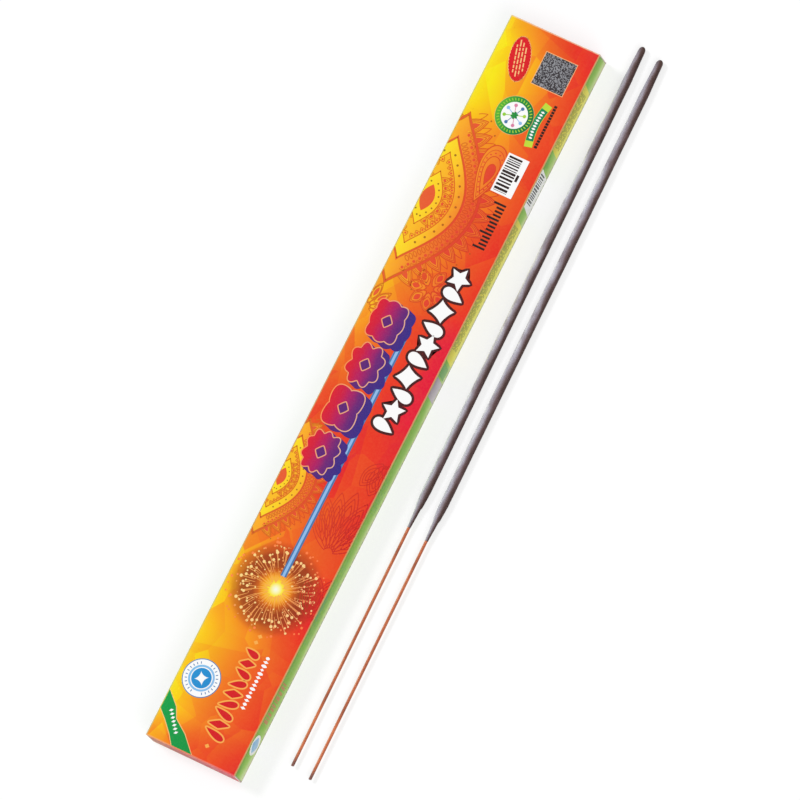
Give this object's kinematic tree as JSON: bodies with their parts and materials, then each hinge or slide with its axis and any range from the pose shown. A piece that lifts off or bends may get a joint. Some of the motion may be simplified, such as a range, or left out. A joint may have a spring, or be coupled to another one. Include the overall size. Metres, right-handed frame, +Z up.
{
  "type": "sparkler pack",
  "caption": "Long hand-held sparklers on coppered wire: a printed tuck-end carton that holds a row of them, with more lying beside it.",
  "frame": {"origin": "middle of the footprint of the carton and the loose sparklers, on the surface that they lie on", "axes": "+Z up; +Y along the carton towards the coated tips; +X towards the loose sparklers beside the carton"},
  "size_m": [0.0622, 0.3136, 0.012],
  "materials": {
    "orange_print": "gloss",
    "back_print": "gloss",
    "green_print": "gloss",
    "bare_board": "matte",
    "coppered_wire": "satin",
    "composition_coating": "matte"
  },
  "bodies": {
    "carton": {"front_panel": "orange_print", "back_panel": "back_print", "left_side_panel": "green_print", "right_side_panel": "green_print", "glue_flap": "bare_board"},
    "top_closure": {"top_closure_panel": "orange_print"},
    "top_tongue": {"top_tuck_tongue": "bare_board"},
    "top_left_dust": {"top_left_dust_flap": "bare_board"},
    "top_right_dust": {"top_right_dust_flap": "bare_board"},
    "bottom_closure": {"bottom_closure_panel": "orange_print"},
    "bottom_tongue": {"bottom_tuck_tongue": "bare_board"},
    "bottom_left_dust": {"bottom_left_dust_flap": "bare_board"},
    "bottom_right_dust": {"bottom_right_dust_flap": "bare_board"},
    "packed_sparkler_1": {"packed_wire_1": "coppered_wire", "packed_coating_1": "composition_coating"},
    "packed_sparkler_2": {"packed_wire_2": "coppered_wire", "packed_coating_2": "composition_coating"},
    "packed_sparkler_3": {"packed_wire_3": "coppered_wire", "packed_coating_3": "composition_coating"},
    "packed_sparkler_4": {"packed_wire_4": "coppered_wire", "packed_coating_4": "composition_coating"},
    "packed_sparkler_5": {"packed_wire_5": "coppered_wire", "packed_coating_5": "composition_coating"},
    "packed_sparkler_6": {"packed_wire_6": "coppered_wire", "packed_coating_6": "composition_coating"},
    "packed_sparkler_7": {"packed_wire_7": "coppered_wire", "packed_coating_7": "composition_coating"},
    "packed_sparkler_8": {"packed_wire_8": "coppered_wire", "packed_coating_8": "composition_coating"},
    "loose_sparkler_1": {"loose_wire_1": "coppered_wire", "loose_coating_1": "composition_coating"},
    "loose_sparkler_2": {"loose_wire_2": "coppered_wire", "loose_coating_2": "composition_coating"}
  },
  "joints": [
    {"name": "top_closure_hinge", "type": "hinge", "parent": "carton", "child": "top_closure", "pos_m": [-0.01206, 0.14588, 0.012], "axis": [1, 0, 0], "range_deg": [0, 110]},
    {"name": "top_tongue_fold", "type": "hinge", "parent": "top_closure", "child": "top_tongue", "pos_m": [-0.01206, 0.14548, 0.0012], "axis": [-1, 0, 0], "range_deg": [0, 67]},
    {"name": "top_left_dust_fold", "type": "hinge", "parent": "carton", "child": "top_left_dust", "pos_m": [-0.03106, 0.14533, 0.006], "axis": [0, 0, 1], "range_deg": [0, 31]},
    {"name": "top_right_dust_fold", "type": "hinge", "parent": "carton", "child": "top_right_dust", "pos_m": [0.00694, 0.14533, 0.006], "axis": [0, 0, -1], "range_deg": [0, 31]},
    {"name": "bottom_closure_hinge", "type": "hinge", "parent": "carton", "child": "bottom_closure", "pos_m": [-0.01206, -0.15682, 0.012], "axis": [-1, 0, 0], "range_deg": [0, 110]},
    {"name": "bottom_tongue_fold", "type": "hinge", "parent": "bottom_closure", "child": "bottom_tongue", "pos_m": [-0.01206, -0.15642, 0.0012], "axis": [1, 0, 0], "range_deg": [0, 67]},
    {"name": "bottom_left_dust_fold", "type": "hinge", "parent": "carton", "child": "bottom_left_dust", "pos_m": [-0.03106, -0.15627, 0.006], "axis": [0, 0, -1], "range_deg": [0, 31]},
    {"name": "bottom_right_dust_fold", "type": "hinge", "parent": "carton", "child": "bottom_right_dust", "pos_m": [0.00694, -0.15627, 0.006], "axis": [0, 0, 1], "range_deg": [0, 31]},
    {"name": "packed_sparkler_1_play", "type": "slide", "parent": "carton", "child": "packed_sparkler_1", "axis": [0, 1, 0], "range_m": [-0.00035, 0.00035]},
    {"name": "packed_sparkler_2_play", "type": "slide", "parent": "carton", "child": "packed_sparkler_2", "axis": [0, 1, 0], "range_m": [-0.00035, 0.00035]},
    {"name": "packed_sparkler_3_play", "type": "slide", "parent": "carton", "child": "packed_sparkler_3", "axis": [0, 1, 0], "range_m": [-0.00035, 0.00035]},
    {"name": "packed_sparkler_4_play", "type": "slide", "parent": "carton", "child": "packed_sparkler_4", "axis": [0, 1, 0], "range_m": [-0.00035, 0.00035]},
    {"name": "packed_sparkler_5_play", "type": "slide", "parent": "carton", "child": "packed_sparkler_5", "axis": [0, 1, 0], "range_m": [-0.00035, 0.00035]},
    {"name": "packed_sparkler_6_play", "type": "slide", "parent": "carton", "child": "packed_sparkler_6", "axis": [0, 1, 0], "range_m": [-0.00035, 0.00035]},
    {"name": "packed_sparkler_7_play", "type": "slide", "parent": "carton", "child": "packed_sparkler_7", "axis": [0, 1, 0], "range_m": [-0.00035, 0.00035]},
    {"name": "packed_sparkler_8_play", "type": "slide", "parent": "carton", "child": "packed_sparkler_8", "axis": [0, 1, 0], "range_m": [-0.00035, 0.00035]},
    {"name": "loose_sparkler_1_lift", "type": "slide", "parent": "carton", "child": "loose_sparkler_1", "axis": [0, 0, 1], "range_m": [0, 0.08]},
    {"name": "loose_sparkler_2_lift", "type": "slide", "parent": "carton", "child": "loose_sparkler_2", "axis": [0, 0, 1], "range_m": [0, 0.08]}
  ],
  "couplings": [
    {"joint": "top_tongue_fold", "follows": "top_closure_hinge", "ratio": 0.6},
    {"joint": "top_left_dust_fold", "follows": "top_closure_hinge", "ratio": 0.28},
    {"joint": "top_right_dust_fold", "follows": "top_closure_hinge", "ratio": 0.28},
    {"joint": "bottom_tongue_fold", "follows": "bottom_closure_hinge", "ratio": 0.6},
    {"joint": "bottom_left_dust_fold", "follows": "bottom_closure_hinge", "ratio": 0.28},
    {"joint": "bottom_right_dust_fold", "follows": "bottom_closure_hinge", "ratio": 0.28}
  ]
}
